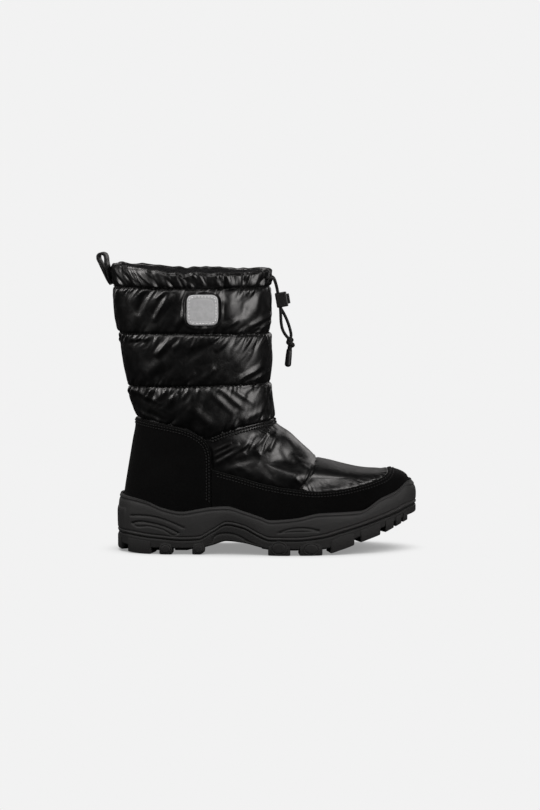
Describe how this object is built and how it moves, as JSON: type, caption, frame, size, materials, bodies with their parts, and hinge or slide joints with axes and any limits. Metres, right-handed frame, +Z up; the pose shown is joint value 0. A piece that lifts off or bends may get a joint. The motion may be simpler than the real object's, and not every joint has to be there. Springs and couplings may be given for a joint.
{
  "type": "quilted winter boot",
  "caption": "Right quilted nylon winter boot with suede counter and rand, cupped lugged rubber sole, drawcord cuff with cord lock, and a rear pull loop.",
  "frame": {"origin": "on the floor, under the middle of the boot's box (drawcord left out)", "axes": "+X to the toe, +Y to the inner side of the foot, +Z up"},
  "size_m": [0.2878, 0.1035, 0.2679],
  "materials": {
    "sole_rubber": "matte moulded rubber",
    "shell": "glossy coated nylon",
    "suede": "matte suede nap",
    "lining": "matte fleece",
    "badge": "smooth grey patch",
    "webbing": "woven tape",
    "cord": "braided cord",
    "lock_plastic": "satin moulded plastic"
  },
  "bodies": {
    "boot": {"outsole": "sole_rubber", "midsole": "sole_rubber", "insole": "lining", "upper": "shell", "heel_counter": "suede", "rand": "suede", "drawcord_cuff": "shell", "badge_patch": "badge", "pull_loop": "webbing", "drawcord_outer": "cord", "drawcord_inner": "cord", "drawcord_knot": "cord", "drawcord_end": "cord", "cord_lock_body": "lock_plastic"},
    "lock_button": {"cord_lock_button": "lock_plastic"}
  },
  "joints": [
    {"name": "cord_lock_press", "type": "slide", "parent": "boot", "child": "lock_button", "axis": [-0.9848, 0, -0.1736], "range_m": [0, 0.002], "stiffness_N_per_m": 800, "springref_m": -0.002}
  ]
}
